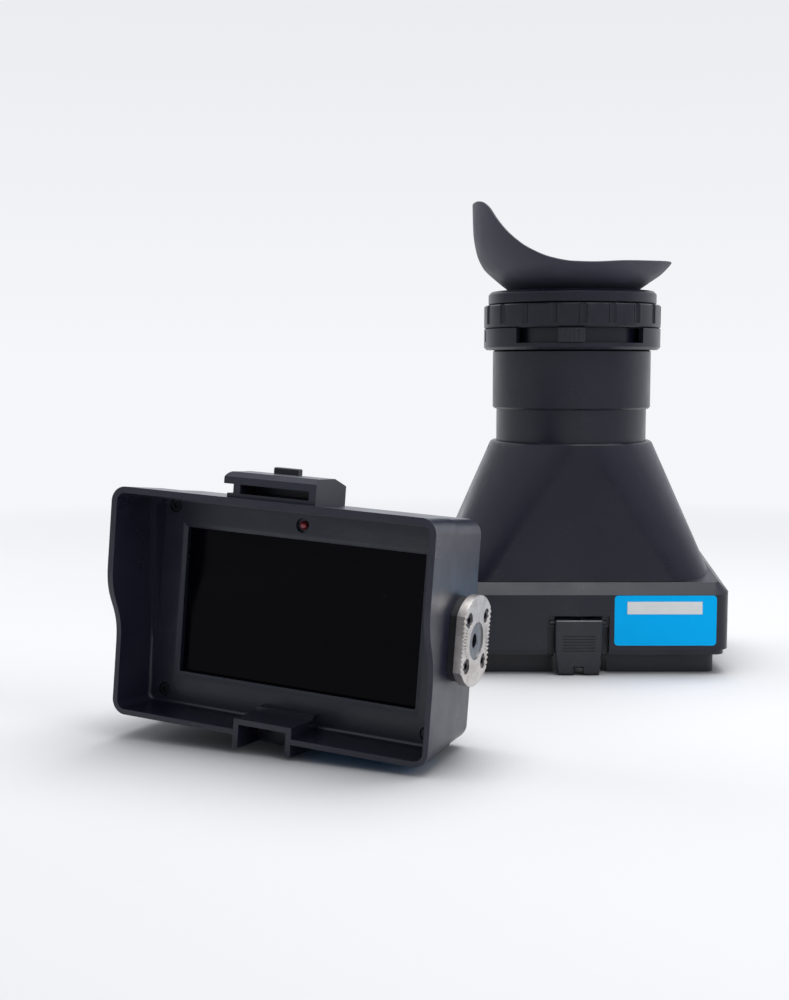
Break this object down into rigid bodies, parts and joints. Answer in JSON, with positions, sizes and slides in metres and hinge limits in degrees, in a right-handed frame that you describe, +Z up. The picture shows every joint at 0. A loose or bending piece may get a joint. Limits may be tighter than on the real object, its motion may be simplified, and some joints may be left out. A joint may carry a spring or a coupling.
{
  "type": "electronic viewfinder",
  "caption": "Hooded monitor with a toothed accessory disc, beside its clip-on magnifying loupe with a focus ring, latch and flared rubber eyecup.",
  "frame": {"origin": "on the floor, under the middle of the box round both units", "axes": "+X to the right along the monitor's width, +Y away from the viewer, +Z up; the loupe's axis is vertical"},
  "size_m": [0.1846, 0.2858, 0.2115],
  "materials": {
    "housing": "fine satin black paint",
    "barrel_black": "satin black anodised",
    "grip_black": "satin moulded grip",
    "tab_black": "satin moulded",
    "skirt_black": "matte moulded",
    "eyecup_rubber": "matte soft rubber",
    "gasket_rubber": "matte",
    "key_rubber": "matte silicone",
    "screen_glass": "dark tinted, gloss",
    "lens_glass": "clear, coated",
    "lamp_red": "red tinted",
    "panel_dark": "dark panel face",
    "bright_aluminium": "bare machined",
    "insert_steel": "dark machined",
    "pin_steel": "bright",
    "screw_black": "black oxide",
    "screw_zinc": "zinc plated",
    "sheet_steel": "bare sheet",
    "spring_steel": "drawn wire",
    "board_green": "solder mask",
    "socket_black": "moulded",
    "release_black": "satin black anodised",
    "label_blue": "printed film",
    "label_white": "printed film"
  },
  "bodies": {
    "screen_unit": {"front_housing": "housing", "rear_cover": "housing", "glass_gasket": "gasket_rubber", "screen_glass": "screen_glass", "lcd_panel": "panel_dark", "panel_frame": "sheet_steel", "main_board": "board_green", "processor_shield": "sheet_steel", "tally_lamp": "lamp_red", "bezel_screws": "screw_black", "frame_screws": "screw_zinc", "board_screws": "screw_zinc", "key_board": "board_green", "key_board_screws": "screw_zinc", "keypad_mat": "key_rubber", "top_receiver": "housing", "receiver_screws": "screw_black", "release_spring": "spring_steel", "disc_spacer": "skirt_black", "toothed_disc": "bright_aluminium", "disc_screws": "screw_black", "threaded_insert": "insert_steel", "video_socket": "socket_black", "power_socket": "socket_black", "underside_label": "label_blue"},
    "release": {"release_button": "release_black"},
    "menu_key_1": {"menu_button_1": "key_rubber"},
    "menu_key_2": {"menu_button_2": "key_rubber"},
    "menu_key_3": {"menu_button_3": "key_rubber"},
    "menu_key_4": {"menu_button_4": "key_rubber"},
    "power_key": {"power_button": "key_rubber"},
    "loupe_unit": {"loupe_base": "housing", "base_skirt": "skirt_black", "loupe_cone": "housing", "cone_screws": "screw_black", "hook_plate": "bright_aluminium", "hook_screws": "screw_black", "barrel": "barrel_black", "set_screws": "screw_black", "slot_ring": "barrel_black", "eyepiece_retainer": "barrel_black", "retainer_screws": "screw_black", "latch_pin": "pin_steel", "latch_spring": "spring_steel", "front_label": "label_blue", "label_field": "label_white"},
    "latch_body": {"latch": "tab_black"},
    "focus_ring": {"diopter_ring": "grip_black", "diopter_tab": "tab_black", "tab_screw": "screw_black"},
    "cell": {"lens_cell": "barrel_black", "cam_pins": "pin_steel", "field_lens": "lens_glass", "lens_spacer": "barrel_black", "eye_lens": "lens_glass", "lens_lock_ring": "barrel_black"},
    "eyecup_body": {"eyecup": "eyecup_rubber", "eyecup_ring": "barrel_black"}
  },
  "joints": [
    {"name": "loupe_lift", "type": "slide", "parent": "screen_unit", "child": "loupe_unit", "axis": [0, 0, 1], "range_m": [0, 0.1]},
    {"name": "release_press", "type": "slide", "parent": "screen_unit", "child": "release", "axis": [-0.0522, -0.0593, -0.9969], "range_m": [0, 0.0015], "stiffness_N_per_m": 900, "springref_m": -0.00075, "deforming": ["release_spring"]},
    {"name": "menu_press_1", "type": "slide", "parent": "screen_unit", "child": "menu_key_1", "axis": [0.0031, -0.9982, 0.0592], "range_m": [0, 0.001], "stiffness_N_per_m": 1200, "springref_m": -0.0005, "deforming": ["keypad_mat"]},
    {"name": "menu_press_2", "type": "slide", "parent": "screen_unit", "child": "menu_key_2", "axis": [0.0031, -0.9982, 0.0592], "range_m": [0, 0.001], "stiffness_N_per_m": 1200, "springref_m": -0.0005, "deforming": ["keypad_mat"]},
    {"name": "menu_press_3", "type": "slide", "parent": "screen_unit", "child": "menu_key_3", "axis": [0.0031, -0.9982, 0.0592], "range_m": [0, 0.001], "stiffness_N_per_m": 1200, "springref_m": -0.0005, "deforming": ["keypad_mat"]},
    {"name": "menu_press_4", "type": "slide", "parent": "screen_unit", "child": "menu_key_4", "axis": [0.0031, -0.9982, 0.0592], "range_m": [0, 0.001], "stiffness_N_per_m": 1200, "springref_m": -0.0005, "deforming": ["keypad_mat"]},
    {"name": "power_press", "type": "slide", "parent": "screen_unit", "child": "power_key", "axis": [0.0031, -0.9982, 0.0592], "range_m": [0, 0.001], "stiffness_N_per_m": 1200, "springref_m": -0.0005, "deforming": ["keypad_mat"]},
    {"name": "latch_swing", "type": "hinge", "parent": "loupe_unit", "child": "latch_body", "pos_m": [0.03226, 0.03684, 0.0232], "axis": [-0.9114, -0.4115, 0], "range_deg": [0, 28], "stiffness_Nm_per_rad": 0.04, "springref_deg": -17.19, "deforming": ["latch_spring"]},
    {"name": "focus_turn", "type": "hinge", "parent": "loupe_unit", "child": "focus_ring", "pos_m": [0.01539, 0.07662, 0.1538], "axis": [0, 0, 1], "range_deg": [-28.5, 42.5]},
    {"name": "cell_slide", "type": "slide", "parent": "loupe_unit", "child": "cell", "axis": [0, 0, 1], "range_m": [-0.002, 0.003]},
    {"name": "eyecup_turn", "type": "hinge", "parent": "loupe_unit", "child": "eyecup_body", "pos_m": [0.01539, 0.07662, 0.1646], "axis": [0, 0, 1], "continuous": true}
  ],
  "couplings": [
    {"joint": "focus_turn", "follows": "cell_slide", "rad_per_m": 244.35}
  ]
}
